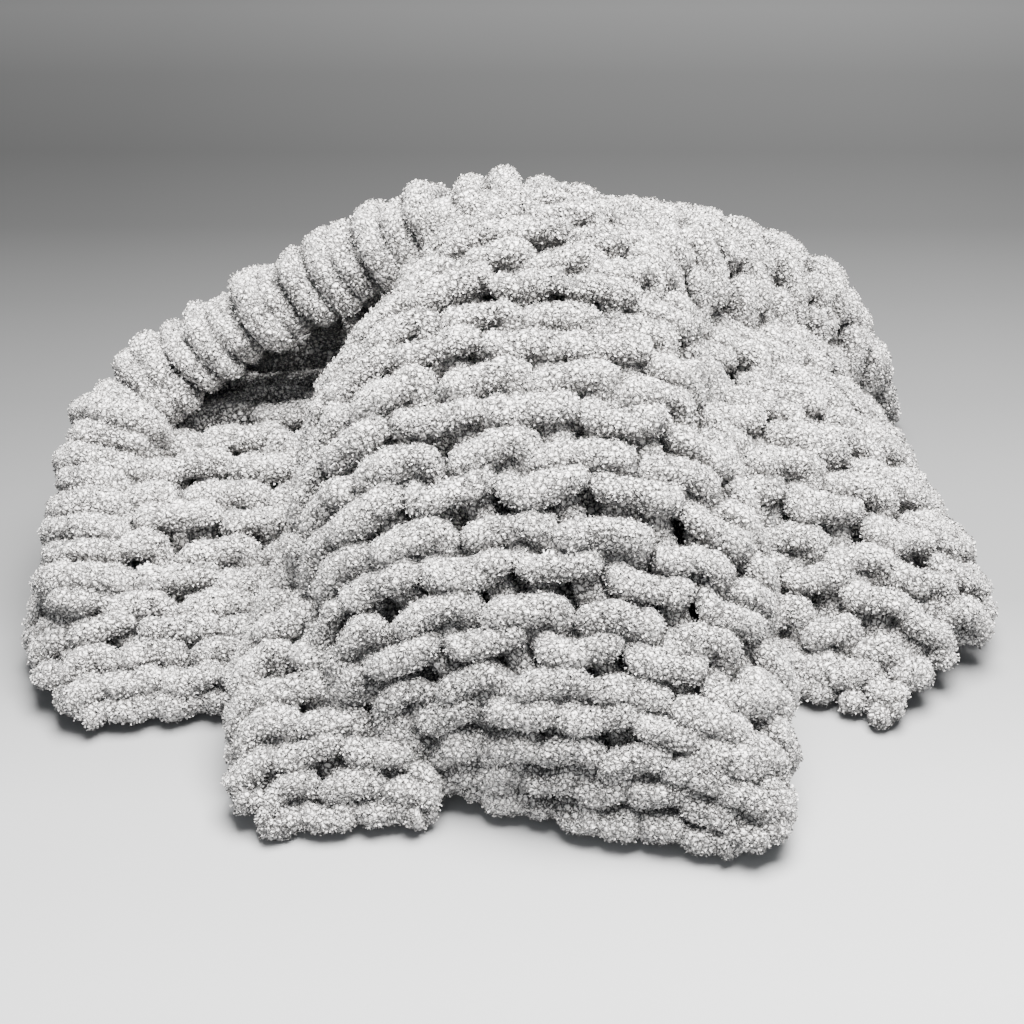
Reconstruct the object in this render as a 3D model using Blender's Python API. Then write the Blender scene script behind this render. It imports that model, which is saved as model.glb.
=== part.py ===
"""Chunky knit blanket, heaped on the floor: one knitted sheet whose front half is drawn forward
over the crest, with its left side folded into a scoop and its right side spread out.

Metres, +Z up, front towards -Y. The origin is on the floor, under the middle of the heap.
"""
import math

import bmesh
import bpy
import numpy as np
from mathutils import Matrix

# Driving dimensions
FABRIC = 0.034             # thickness of the knitted sheet, two yarns deep
BUMP = 0.013               # how far a stitch stands out of the furrows round it
BLUNTNESS = 0.6            # under 1 makes a stitch fuller towards its ends
EDGE_FURROW = 0.25         # depth of the furrows at the sheet's edges against elsewhere
EDGE_ROWS = 1.5            # how many rows it takes to reach its full depth from an end
EDGE_STITCHES = 0.5        # and how many stitches from a side
STITCH_STEPS = 4           # points along one stitch
ROW_STEPS = 2              # points across one row of stitches: a crest and a furrow
VOXEL = 0.0028             # grain of the fused skin before it is thinned
MOST_TRIANGLES = 11000     # what is then left of it, the part under the floor included
SHOULDER = 2.3             # 2 is an elliptic arch, more is squarer
ARCH_POINTS = 121          # points at which an arch's length is measured
WAVE = 0.004               # slow unevenness of the hand-made sheet, and
WAVE_LENGTH = 0.18         # about how long its waves are
LOWEST = 0.010             # the outside of the sheet comes no nearer to the floor than this,
SOFTNESS = 0.006           # and levels out over about this height
UNDERCUT = 0.6             # share of the thickness that the layers beneath stand back from an edge,
UNDERCUT_DROP = 0.33       # and share of it at which they do so
CUTTER = 1.0               # side of the block that levels the underside
BELOW_FLOOR = 0.012        # everything is built this far down, then cut level at the floor
SHIFT = (0.0002, -0.0378)  # moves the heap so that the origin is in the middle of its box

# Each fold of the sheet is a table, with a row for each section along it. Place is the section's place
# counted in stitch rows; x, y, z its middle on the outside; turn its direction in plan, in degrees;
# lean how much it falls towards its right end, in degrees; left and right how far it reaches each
# way; fall_left and fall_right how far its sides drop.
COLUMNS = ("place", "x", "y", "z", "turn", "lean", "left", "right", "fall_left", "fall_right")

PANEL = (
    (-12, -0.005, 0.236, 0.012, 0, 0, 0.120, 0.100, 0.010, 0.010),
    (-11, -0.005, 0.230, 0.034, 0, 0, 0.120, 0.105, 0.020, 0.020),
    (-8, 0.000, 0.205, 0.110, 0, 0, 0.115, 0.105, 0.090, 0.090),
    (-4, 0.005, 0.155, 0.190, 0, 0, 0.095, 0.100, 0.110, 0.110),
    (-1, 0.010, 0.112, 0.232, 0, 0, 0.080, 0.088, 0.080, 0.080),
    (2, 0.013, 0.060, 0.238, 0, 0, 0.092, 0.092, 0.080, 0.080),
    (5, 0.011, 0.004, 0.220, 0, 0, 0.122, 0.106, 0.080, 0.085),
    (8, 0.012, -0.050, 0.191, 0, 0, 0.136, 0.125, 0.080, 0.090),
    (11, 0.018, -0.098, 0.151, -2, 0, 0.130, 0.128, 0.080, 0.090),
    (14, 0.025, -0.137, 0.104, -5, 0, 0.118, 0.126, 0.070, 0.085),
    (17, 0.038, -0.163, 0.056, -11, 0, 0.090, 0.102, 0.040, 0.045),
    (19, 0.046, -0.173, 0.012, -15, 0, 0.074, 0.070, 0.010, 0.010),
)
PANEL_STITCHES = 7

SCOOP = (
    (0, -0.175, 0.140, 0.088, 0, 0, 0.090, 0.100, 0.070, 0.010),
    (2, -0.178, 0.090, 0.098, 0, -4, 0.094, 0.100, 0.080, 0.010),
    (4, -0.188, 0.040, 0.094, 0, -4, 0.092, 0.100, 0.075, 0.010),
    (8, -0.198, -0.030, 0.066, 0, 0, 0.088, 0.100, 0.050, 0.010),
    (11, -0.195, -0.071, 0.044, 2, 0, 0.072, 0.090, 0.030, 0.010),
    (12, -0.193, -0.084, 0.030, 4, 0, 0.058, 0.080, 0.020, 0.010),
    (13, -0.193, -0.090, 0.012, 5, 0, 0.048, 0.080, 0.010, 0.010),
)
SCOOP_STITCHES = 4.5

FLARE = (
    (0, -0.090, 0.030, 0.135, 0, 0, 0.036, 0.060, 0.050, 0.020),
    (4, -0.092, -0.035, 0.118, 0, 0, 0.042, 0.060, 0.060, 0.020),
    (8, -0.100, -0.090, 0.088, 0, 0, 0.052, 0.060, 0.060, 0.020),
    (11, -0.100, -0.136, 0.057, 0, 0, 0.054, 0.058, 0.040, 0.030),
    (13, -0.094, -0.162, 0.032, 4, 0, 0.053, 0.058, 0.020, 0.020),
    (14, -0.090, -0.172, 0.012, 8, 0, 0.044, 0.052, 0.010, 0.010),
)
FLARE_STITCHES = 3.5

SLOPE = (
    (0, 0.140, 0.140, 0.150, -8, 25, 0.080, 0.112, 0.010, 0.090),
    (3, 0.158, 0.085, 0.138, -8, 25, 0.080, 0.112, 0.010, 0.080),
    (6, 0.180, 0.028, 0.112, -8, 20, 0.080, 0.106, 0.010, 0.065),
    (9, 0.197, -0.022, 0.074, -12, 10, 0.080, 0.078, 0.015, 0.045),
    (11, 0.193, -0.060, 0.045, -20, 3, 0.068, 0.045, 0.020, 0.030),
    (12.5, 0.186, -0.084, 0.012, -27, 0, 0.048, 0.032, 0.010, 0.010),
)
SLOPE_STITCHES = 4.5

BACK_LOBE = (
    (0, 0.060, 0.118, 0.220, -50, 0, 0.085, 0.060, 0.120, 0.080),
    (4, 0.122, 0.168, 0.190, -50, 0, 0.082, 0.060, 0.140, 0.090),
    (8, 0.178, 0.204, 0.150, -50, 0, 0.068, 0.058, 0.120, 0.090),
    (11, 0.217, 0.224, 0.107, -50, 0, 0.056, 0.054, 0.080, 0.070),
    (13, 0.238, 0.232, 0.052, -50, 0, 0.048, 0.048, 0.040, 0.040),
    (14, 0.246, 0.235, 0.012, -50, 0, 0.042, 0.042, 0.010, 0.010),
)
BACK_LOBE_STITCHES = 4.5

BACK_SLOPE = (
    (0, -0.140, 0.108, 0.166, 4, -27, 0.122, 0.130, 0.040, 0.040),
    (3, -0.140, 0.160, 0.132, 6, -24, 0.124, 0.130, 0.050, 0.040),
    (6, -0.138, 0.198, 0.078, 8, -12, 0.120, 0.130, 0.030, 0.030),
    (9, -0.136, 0.218, 0.012, 8, 0, 0.105, 0.125, 0.010, 0.010),
)
BACK_SLOPE_STITCHES = 5.5

FOLDS = (
    (PANEL, PANEL_STITCHES),
    (SCOOP, SCOOP_STITCHES),
    (FLARE, FLARE_STITCHES),
    (SLOPE, SLOPE_STITCHES),
    (BACK_LOBE, BACK_LOBE_STITCHES),
    (BACK_SLOPE, BACK_SLOPE_STITCHES),
)

# The folded edge that runs from the crest to the left corner and down the scoop's rim: a thick roll
# with a rib for each row
ROLL_COLUMNS = ("place", "x", "y", "z", "radius")
ROLL = (
    (0, 0.020, 0.112, 0.206, 0.026),
    (2, -0.020, 0.106, 0.212, 0.028),
    (5, -0.070, 0.107, 0.193, 0.028),
    (9, -0.128, 0.107, 0.160, 0.026),
    (13, -0.188, 0.100, 0.124, 0.026),
    (16, -0.226, 0.084, 0.100, 0.027),
    (19, -0.240, 0.045, 0.082, 0.026),
    (22, -0.244, 0.005, 0.064, 0.025),
    (25, -0.243, -0.036, 0.044, 0.024),
)
ROLL_SIDES = 12
RIB = 0.009
RIB_SLANT = 0.9            # how many ribs a rib lags by from the roll's top to its bottom

YARN_COLOR = (0.56, 0.545, 0.53, 1.0)
YARN_ROUGHNESS = 0.95

TINY = 1e-9                # keeps lengths off zero before they divide


# Curves through the tables
def column(table, columns, name, places):
    """One column of a table at the given places, on a smooth curve through its rows."""
    knots = np.array([row[0] for row in table], float)
    values = np.array([row[columns.index(name)] for row in table], float)
    slopes = np.gradient(values, knots)
    index = np.clip(np.searchsorted(knots, places, side="right") - 1, 0, len(knots) - 2)
    span = knots[index + 1] - knots[index]
    t = (places - knots[index]) / span
    start, end = values[index], values[index + 1]
    start_slope, end_slope = slopes[index] * span, slopes[index + 1] * span
    return ((2 * t**3 - 3 * t**2 + 1) * start + (t**3 - 2 * t**2 + t) * start_slope
            + (3 * t**2 - 2 * t**3) * end + (t**3 - t**2) * end_slope)


def fold_surface(table, places, shares):
    """Points of a fold's outside: one row of points for each place, at even shares across."""
    get = {name: column(table, COLUMNS, name, places) for name in COLUMNS[1:]}
    fine = np.linspace(-1.0, 1.0, ARCH_POINTS)
    angle = np.abs(fine) * math.pi / 2
    points = np.zeros((len(places), len(shares), 3))
    for i in range(len(places)):
        reach = np.where(fine < 0, get["left"][i], get["right"][i])
        fall = np.where(fine < 0, get["fall_left"][i], get["fall_right"][i])
        out = np.sign(fine) * reach * np.sin(angle) ** (2 / SHOULDER)
        down = fall * (1 - np.abs(np.cos(angle)) ** (2 / SHOULDER))
        down = down + out * math.tan(math.radians(get["lean"][i]))
        length = np.concatenate(([0.0], np.cumsum(np.hypot(np.diff(out), np.diff(down)))))
        at = (np.asarray(shares) + 1) / 2 * length[-1]
        out, down = np.interp(at, length, out), np.interp(at, length, down)
        turn = math.radians(get["turn"][i])
        points[i, :, 0] = get["x"][i] + out * math.cos(turn)
        points[i, :, 1] = get["y"][i] + out * math.sin(turn)
        points[i, :, 2] = get["z"][i] - down
    points[..., 2] = LOWEST + SOFTNESS * np.logaddexp(0.0, (points[..., 2] - LOWEST) / SOFTNESS)
    return points


def outward(points):
    """Unit vectors that point out of the cloth at a grid of points, evened out over their neighbours."""
    normal = np.cross(np.gradient(points, axis=0), np.gradient(points, axis=1))
    normal /= np.maximum(np.linalg.norm(normal, axis=2, keepdims=True), TINY)
    if normal[..., 2].mean() < 0:
        normal = -normal
    for axis in (0, 1, 0, 1):
        wide = np.concatenate((normal.take([0], axis), normal, normal.take([-1], axis)), axis)
        count = normal.shape[axis]
        normal = sum(wide.take(range(k, k + count), axis) for k in range(3))
    return normal / np.linalg.norm(normal, axis=2, keepdims=True)


def stitch_height(row, stitch):
    """How far the knit stands out: sausage-like bumps, each row half a stitch from the next."""
    crest = np.abs(np.cos(np.pi * row))
    along = stitch + 0.5 * np.round(row)
    return BUMP * crest * np.abs(np.sin(np.pi * along)) ** BLUNTNESS


def wave(points, phase):
    """Slow unevenness of the sheet."""
    x, y, z = np.moveaxis(points * 2 * math.pi / WAVE_LENGTH, 2, 0)
    return WAVE * np.sin(x + z / 2 + phase) * np.cos(y - x / 2 + 2 * phase)


# Shells, all drawn into one mesh
def flat_unit(vectors):
    """Horizontal unit vectors."""
    flat = vectors * (1.0, 1.0, 0.0)
    return flat / np.maximum(np.linalg.norm(flat, axis=-1, keepdims=True), TINY)


def edge_share(count, steps):
    """How deep the furrows are along a side of so many points: shallow at its ends, full inside."""
    index = np.arange(count)
    return np.clip(np.minimum(index, index[::-1]) / steps, EDGE_FURROW, 1.0)


def add_fold(mesh, table, stitches, phase):
    """A fold of the knitted sheet with its stitches raised on the outside, and the layers packed under it."""
    first, last = table[0][0], table[-1][0]
    places = np.linspace(first, last, int(round((last - first) * ROW_STEPS)) + 1)
    shares = np.linspace(-1.0, 1.0, int(round(stitches * STITCH_STEPS)) + 1)
    points = fold_surface(table, places, shares)
    rows, steps = points.shape[:2]
    row = np.repeat(places[:, None], steps, axis=1)
    stitch = np.repeat((shares[None, :] + 1) / 2 * stitches, rows, axis=0)
    from_ends = edge_share(rows, EDGE_ROWS * ROW_STEPS)
    from_sides = edge_share(steps, EDGE_STITCHES * STITCH_STEPS)
    off_floor = np.clip(points[..., 2] / FABRIC, EDGE_FURROW, 1.0)
    depth = np.minimum(np.minimum.outer(from_ends, from_sides), off_floor)
    height = (stitch_height(row, stitch) - BUMP) * depth + wave(points, phase)
    outside = points + outward(points) * height[..., None]
    inward = np.zeros_like(points)
    inward[:, 0] += flat_unit(points[:, -1] - points[:, 0])
    inward[:, -1] += flat_unit(points[:, 0] - points[:, -1])
    inward[0] += flat_unit(points[2, steps // 2] - points[0, steps // 2])
    inward[-1] += flat_unit(points[-3, steps // 2] - points[-1, steps // 2])

    top = [[mesh.verts.new(p) for p in line] for line in outside]
    for i in range(rows - 1):
        for j in range(steps - 1):
            mesh.faces.new((top[i][j], top[i][j + 1], top[i + 1][j + 1], top[i + 1][j]))
    border = [(0, j) for j in range(steps)] + [(i, steps - 1) for i in range(1, rows)]
    border += [(rows - 1, j) for j in range(steps - 2, -1, -1)] + [(i, 0) for i in range(rows - 2, 0, -1)]
    rings = [[top[i][j] for i, j in border], [], []]
    for i, j in border:
        share = min(outside[i, j, 2] / FABRIC, 1.0)
        spot = outside[i, j] + inward[i, j] * FABRIC * UNDERCUT * share
        spot[2] -= FABRIC * UNDERCUT_DROP * share
        rings[1].append(mesh.verts.new(spot))
        rings[2].append(mesh.verts.new((spot[0], spot[1], -BELOW_FLOOR)))
    for upper, lower in zip(rings, rings[1:]):
        for k in range(len(border)):
            n = (k + 1) % len(border)
            mesh.faces.new((upper[n], upper[k], lower[k], lower[n]))
    mesh.faces.new(rings[2])


def add_roll(mesh):
    """The thick folded edge, a tube with slanting ribs and rounded ends."""
    first, last = ROLL[0][0], ROLL[-1][0]
    places = np.linspace(first, last, (last - first) * ROW_STEPS + 1)
    spine = np.stack([column(ROLL, ROLL_COLUMNS, c, places) for c in ("x", "y", "z")], axis=1)
    radius = column(ROLL, ROLL_COLUMNS, "radius", places)
    ahead = np.gradient(spine, axis=0)
    ahead /= np.linalg.norm(ahead, axis=1, keepdims=True)
    side = np.cross(ahead, (0.0, 0.0, 1.0))
    side /= np.linalg.norm(side, axis=1, keepdims=True)
    over = np.cross(side, ahead)
    rings = []
    for i, place in enumerate(places):
        ring = []
        for k in range(ROLL_SIDES):
            a = 2 * math.pi * k / ROLL_SIDES
            lag = RIB_SLANT * math.cos(a) / 2
            r = radius[i] + RIB * (abs(math.cos(math.pi * (place + lag))) - 0.5)
            ring.append(mesh.verts.new(spine[i] + side[i] * r * math.sin(a) + over[i] * r * math.cos(a)))
        rings.append(ring)
    for lower, upper in zip(rings, rings[1:]):
        for k in range(ROLL_SIDES):
            n = (k + 1) % ROLL_SIDES
            mesh.faces.new((lower[k], lower[n], upper[n], upper[k]))
    for ring, spot, way in ((rings[0], spine[0], -ahead[0]), (rings[-1], spine[-1], ahead[-1])):
        tip = mesh.verts.new(spot + way * RIB)
        for k in range(ROLL_SIDES):
            mesh.faces.new((ring[k], ring[(k + 1) % ROLL_SIDES], tip))


def after(thing, kind, **settings):
    """The mesh of a thing after one modifier of the given kind."""
    modifier = thing.modifiers.new("shape", kind)
    for name, value in settings.items():
        setattr(modifier, name, value)
    graph = bpy.context.evaluated_depsgraph_get()
    result = bpy.data.meshes.new_from_object(thing.evaluated_get(graph))
    thing.modifiers.remove(modifier)
    return result


def keep_outer_skin(data):
    """Removes the small closed pockets that are left between the layers."""
    mesh = bmesh.new()
    mesh.from_mesh(data)
    unseen = set(mesh.verts)
    skins = []
    for first in mesh.verts:
        if first not in unseen:
            continue
        unseen.discard(first)
        reached = [first]
        for vertex in reached:
            for edge in vertex.link_edges:
                other = edge.other_vert(vertex)
                if other in unseen:
                    unseen.discard(other)
                    reached.append(other)
        skins.append(reached)
    skins.sort(key=len)
    for pocket in skins[:-1]:
        bmesh.ops.delete(mesh, geom=pocket, context="VERTS")
    mesh.to_mesh(data)
    mesh.free()


def floor_cutter():
    """A block under the floor that cuts the blanket's underside level."""
    bpy.ops.mesh.primitive_cube_add(size=CUTTER, location=(0.0, 0.0, -CUTTER / 2))
    cutter = bpy.context.object
    cutter.name = "floor_cutter"
    cutter.hide_render = True
    cutter.display_type = "WIRE"
    return cutter


def yarn_material():
    """Soft warm grey chenille."""
    material = bpy.data.materials.new("chenille_yarn")
    material.use_nodes = True
    shader = material.node_tree.nodes["Principled BSDF"]
    shader.inputs["Base Color"].default_value = YARN_COLOR
    shader.inputs["Roughness"].default_value = YARN_ROUGHNESS
    shader.inputs["Metallic"].default_value = 0.0
    return material


def blanket():
    """The folds and the roll fused into one skin, thinned, and cut level at the floor."""
    mesh = bmesh.new()
    for phase, (table, stitches) in enumerate(FOLDS):
        add_fold(mesh, table, stitches, phase)
    add_roll(mesh)
    bmesh.ops.recalc_face_normals(mesh, faces=mesh.faces)
    mesh.transform(Matrix.Translation((*SHIFT, 0.0)))
    shells = bpy.data.meshes.new("shells")
    mesh.to_mesh(shells)
    mesh.free()
    thing = bpy.data.objects.new("blanket", shells)
    bpy.context.scene.collection.objects.link(thing)

    skin = after(thing, "REMESH", mode="VOXEL", voxel_size=VOXEL)
    keep_outer_skin(skin)
    thing.data = skin
    thinned = after(thing, "DECIMATE", ratio=MOST_TRIANGLES / (2 * len(skin.polygons)))
    thinned.name = "blanket"
    thinned.materials.append(yarn_material())
    thing.data = thinned
    level = thing.modifiers.new("level", "BOOLEAN")
    level.operation = "DIFFERENCE"
    level.solver = "EXACT"
    level.object = floor_cutter()


for old_object in list(bpy.data.objects):
    bpy.data.objects.remove(old_object)
blanket()
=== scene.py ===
"""Chunky knit blanket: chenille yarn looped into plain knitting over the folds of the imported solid.

Metres, +Z up, front towards -Y. The folds repeat the sizes of the part's source, so that every stitch
lies where the solid has its raised bump.
"""
import math

import bmesh
import bpy
import numpy as np
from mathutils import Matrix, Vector
from mathutils.bvhtree import BVHTree


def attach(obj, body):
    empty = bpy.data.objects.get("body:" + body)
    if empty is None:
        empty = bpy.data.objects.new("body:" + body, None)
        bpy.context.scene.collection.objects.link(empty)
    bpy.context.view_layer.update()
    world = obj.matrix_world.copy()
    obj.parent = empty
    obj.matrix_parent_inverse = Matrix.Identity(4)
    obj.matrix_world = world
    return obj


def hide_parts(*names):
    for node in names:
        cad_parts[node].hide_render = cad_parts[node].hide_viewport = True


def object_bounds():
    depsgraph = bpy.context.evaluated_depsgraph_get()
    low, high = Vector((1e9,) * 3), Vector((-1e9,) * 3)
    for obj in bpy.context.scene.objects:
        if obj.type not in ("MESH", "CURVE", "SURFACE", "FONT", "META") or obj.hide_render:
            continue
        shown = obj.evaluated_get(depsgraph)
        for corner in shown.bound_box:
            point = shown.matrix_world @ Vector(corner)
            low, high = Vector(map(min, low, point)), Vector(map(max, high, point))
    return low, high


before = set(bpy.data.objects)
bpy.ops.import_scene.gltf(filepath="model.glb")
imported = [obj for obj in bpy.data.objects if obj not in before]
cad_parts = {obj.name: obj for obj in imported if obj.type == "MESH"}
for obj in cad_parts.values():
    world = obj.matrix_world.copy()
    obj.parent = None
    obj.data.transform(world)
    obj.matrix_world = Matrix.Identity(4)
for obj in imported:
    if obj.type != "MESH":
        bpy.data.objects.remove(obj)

SOLID_BOX = [list(corner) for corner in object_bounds()]

# The folds, as in the part's source
SHOULDER = 2.3             # how square a fold's arch is, 2 for an ellipse
ARCH_POINTS = 121
WAVE = 0.004               # slow unevenness of the sheet, and
WAVE_LENGTH = 0.18         # its length
LOWEST = 0.010             # height at which the folds' outside comes to lie, and
SOFTNESS = 0.006           # how softly
SHIFT = (0.0002, -0.0378)
TINY = 1e-9
DEEPEST = -0.05            # how far down a fold's sides are followed below the floor
NORMAL_BLURS = 4           # how often the outward directions are evened out

COLUMNS = ("place", "x", "y", "z", "turn", "lean", "left", "right", "fall_left", "fall_right")
PANEL = (
    (-12, -0.005, 0.236, 0.012, 0, 0, 0.120, 0.100, 0.010, 0.010),
    (-11, -0.005, 0.230, 0.034, 0, 0, 0.120, 0.105, 0.020, 0.020),
    (-8, 0.000, 0.205, 0.110, 0, 0, 0.115, 0.105, 0.090, 0.090),
    (-4, 0.005, 0.155, 0.190, 0, 0, 0.095, 0.100, 0.110, 0.110),
    (-1, 0.010, 0.112, 0.232, 0, 0, 0.080, 0.088, 0.080, 0.080),
    (2, 0.013, 0.060, 0.238, 0, 0, 0.092, 0.092, 0.080, 0.080),
    (5, 0.011, 0.004, 0.220, 0, 0, 0.122, 0.106, 0.080, 0.085),
    (8, 0.012, -0.050, 0.191, 0, 0, 0.136, 0.125, 0.080, 0.090),
    (11, 0.018, -0.098, 0.151, -2, 0, 0.130, 0.128, 0.080, 0.090),
    (14, 0.025, -0.137, 0.104, -5, 0, 0.118, 0.126, 0.070, 0.085),
    (17, 0.038, -0.163, 0.056, -11, 0, 0.090, 0.102, 0.040, 0.045),
    (19, 0.046, -0.173, 0.012, -15, 0, 0.074, 0.070, 0.010, 0.010),
)
SCOOP = (
    (0, -0.175, 0.140, 0.088, 0, 0, 0.090, 0.100, 0.070, 0.010),
    (2, -0.178, 0.090, 0.098, 0, -4, 0.094, 0.100, 0.080, 0.010),
    (4, -0.188, 0.040, 0.094, 0, -4, 0.092, 0.100, 0.075, 0.010),
    (8, -0.198, -0.030, 0.066, 0, 0, 0.088, 0.100, 0.050, 0.010),
    (11, -0.195, -0.071, 0.044, 2, 0, 0.072, 0.090, 0.030, 0.010),
    (12, -0.193, -0.084, 0.030, 4, 0, 0.058, 0.080, 0.020, 0.010),
    (13, -0.193, -0.090, 0.012, 5, 0, 0.048, 0.080, 0.010, 0.010),
)
FLARE = (
    (0, -0.090, 0.030, 0.135, 0, 0, 0.036, 0.060, 0.050, 0.020),
    (4, -0.092, -0.035, 0.118, 0, 0, 0.042, 0.060, 0.060, 0.020),
    (8, -0.100, -0.090, 0.088, 0, 0, 0.052, 0.060, 0.060, 0.020),
    (11, -0.100, -0.136, 0.057, 0, 0, 0.054, 0.058, 0.040, 0.030),
    (13, -0.094, -0.162, 0.032, 4, 0, 0.053, 0.058, 0.020, 0.020),
    (14, -0.090, -0.172, 0.012, 8, 0, 0.044, 0.052, 0.010, 0.010),
)
SLOPE = (
    (0, 0.140, 0.140, 0.150, -8, 25, 0.080, 0.112, 0.010, 0.090),
    (3, 0.158, 0.085, 0.138, -8, 25, 0.080, 0.112, 0.010, 0.080),
    (6, 0.180, 0.028, 0.112, -8, 20, 0.080, 0.106, 0.010, 0.065),
    (9, 0.197, -0.022, 0.074, -12, 10, 0.080, 0.078, 0.015, 0.045),
    (11, 0.193, -0.060, 0.045, -20, 3, 0.068, 0.045, 0.020, 0.030),
    (12.5, 0.186, -0.084, 0.012, -27, 0, 0.048, 0.032, 0.010, 0.010),
)
BACK_LOBE = (
    (0, 0.060, 0.118, 0.220, -50, 0, 0.085, 0.060, 0.120, 0.080),
    (4, 0.122, 0.168, 0.190, -50, 0, 0.082, 0.060, 0.140, 0.090),
    (8, 0.178, 0.204, 0.150, -50, 0, 0.068, 0.058, 0.120, 0.090),
    (11, 0.217, 0.224, 0.107, -50, 0, 0.056, 0.054, 0.080, 0.070),
    (13, 0.238, 0.232, 0.052, -50, 0, 0.048, 0.048, 0.040, 0.040),
    (14, 0.246, 0.235, 0.012, -50, 0, 0.042, 0.042, 0.010, 0.010),
)
BACK_SLOPE = (
    (0, -0.140, 0.108, 0.166, 4, -27, 0.122, 0.130, 0.040, 0.040),
    (3, -0.140, 0.160, 0.132, 6, -24, 0.124, 0.130, 0.050, 0.040),
    (6, -0.138, 0.198, 0.078, 8, -12, 0.120, 0.130, 0.030, 0.030),
    (9, -0.136, 0.218, 0.012, 8, 0, 0.105, 0.125, 0.010, 0.010),
)
FOLDS = (
    ("panel", PANEL, 7),
    ("scoop", SCOOP, 4.5),
    ("flare", FLARE, 3.5),
    ("slope", SLOPE, 4.5),
    ("back_lobe", BACK_LOBE, 4.5),
    ("back_slope", BACK_SLOPE, 5.5),
)
ROLL_COLUMNS = ("place", "x", "y", "z", "radius")
ROLL = (
    (0, 0.020, 0.112, 0.206, 0.026),
    (2, -0.020, 0.106, 0.212, 0.028),
    (5, -0.070, 0.107, 0.193, 0.028),
    (9, -0.128, 0.107, 0.160, 0.026),
    (13, -0.188, 0.100, 0.124, 0.026),
    (16, -0.226, 0.084, 0.100, 0.027),
    (19, -0.240, 0.045, 0.082, 0.026),
    (22, -0.244, 0.005, 0.064, 0.025),
    (25, -0.243, -0.036, 0.044, 0.024),
)

# The yarn and its loops
STITCH, ROW = 0.05, 0.0215   # width of a stitch and length of a row
YARN = 0.0083              # yarn radius under the pile
LEG = 0.86                 # how much thinner its hidden legs are drawn
FLATTENED = 0.92           # how thick the yarn lies against how wide
LOOP_HEIGHT = 1.5          # half height of a loop, in rows
LOOP_FLAT = 2.0            # how straight the outer bows of a loop are
LOOP_SWAY = 0.225          # how far a loop's legs draw in, in stitches
LOOP_DEPTH = 0.0060        # how far the legs dive behind the bows
DIVE_AT = 0.42             # where they dive, and
DIVE_STEEP = 2.2           # how steeply
FIRST_LOOP = 0.5           # place of the first loop's middle, in rows
WANDER = 0.0024            # unevenness of the hand knitting, in metres
SIDES = 12                 # points round a yarn
SIDES_OUTSIDE = 0.36       # how much closer they are on the outside
SHOWN_STEP = 0.0036        # spacing of rings where the yarn shows
HIDDEN_STEP = 0.0085       # and where it dives inside
SHOWN_TO = -0.35           # where on a loop the one gives way to the other
LOOP_POINTS = 721          # points at which a loop is measured
ROUND_RINGS = 4            # rings over which the end of a yarn is rounded, and
ROUND_LEAST = 0.04         # how small it gets, squared
LOWEST_YARN, LOWEST_LEAF = 0.0006, 0.0004   # nothing reaches lower than this
BOW_TILT = 0.20            # how much the bows lean up to the right, and
BOW_TILT_SPREAD = 0.22     # how much that varies
GRID_PER_ROW = 4
GRID_PER_STITCH = 6
OVERHANG = 3.0             # stitches that a fold's side may hang further than its arch
OVERHANG_TUCK = 0.012      # how far those tuck in under the fold
HEM = 0.2                  # rows by which a fold's end reaches past its last row
HEM_TUCK = 0.3             # how far the yarn tucks under there
HEM_REACH = 1.5            # bows that would lie less than this past the end are drawn back to it
FREE_EDGE = 0.040          # a side that ends lower than this hangs no further
BURIED = 0.031             # deeper inside than this no yarn is made
MOST_QUADS = 92000         # in one piece

# Lumps of the pile: (length, height)
LUMPS = ((0.024, 0.0016), (0.0105, 0.0024), (0.0050, 0.0009))
LUMP_SEED = 5

# The pile itself, small bent tufts that stand in curly clumps
TUFT = 0.0019              # length
TUFT_SPREAD = (0.7, 1.25)  # and how it varies
TUFT_WIDTH = 0.0015
WIDTH_SPREAD = (0.7, 1.2)
TUFT_LEAN = 1.30           # how far tufts lean over
LEAN_SPREAD = (0.4, 1.6)
TUFT_IN = 0.0002           # how far their roots stand in the yarn
TUFTS = 590000             # in all
CLUMP = 0.0026             # size of a clump
CRACK = 0.14               # how wide the gaps between clumps are
CLUMP_RISE = 0.0009        # how far a clump stands out
CLUMP_SEED = 77
CLUMP_PAINTED_SHADE, CLUMP_MIDDLE = 1.2, 0.7   # how much its height changes the tone as painted shade, darker in the cracks between clumps, and where not at all
LEG_PILE = 0.8             # how much of the pile grows on the legs
LEG_FROM, NONE_FROM = -0.6, -1.5   # how far in the legs start, and what has no pile at all
PILE_LOWEST = 0.0008       # none grows on yarn pressed to the floor
PILE_ROUND = -0.5          # how far round the yarn it grows, the cosine of the angle
GROOVE_PAINTED_SHADE = 1.1               # painted groove shade: how much darker the pile is coloured at the yarn's sides than on its outside, standing in for the shade between neighbouring yarns
PILE_SEED = 17
OUTER = YARN + TUFT * 0.6
MOST_TUFTS = 197000        # in one piece
LEAF_PAINTED_SHADE = np.array([-0.6, 0.5, 0.5])  # painted shade: tone at a leaf's root, dark as if in the pile's shade, and at its two outer corners, lighter
TIP_SCALE = 0.003          # height of a lump that changes the painted shade tone by one


# Curves through the tables
def column(table, columns, name, places):
    """One column of a table at the given places, on a smooth curve through its rows."""
    knots = np.array([row[0] for row in table], float)
    values = np.array([row[columns.index(name)] for row in table], float)
    slopes = np.gradient(values, knots)
    index = np.clip(np.searchsorted(knots, places, side="right") - 1, 0, len(knots) - 2)
    span = knots[index + 1] - knots[index]
    t = (places - knots[index]) / span
    start, end = values[index], values[index + 1]
    start_slope, end_slope = slopes[index] * span, slopes[index + 1] * span
    return ((2 * t**3 - 3 * t**2 + 1) * start + (t**3 - 2 * t**2 + t) * start_slope
            + (3 * t**2 - 2 * t**3) * end + (t**3 - t**2) * end_slope)


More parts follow.
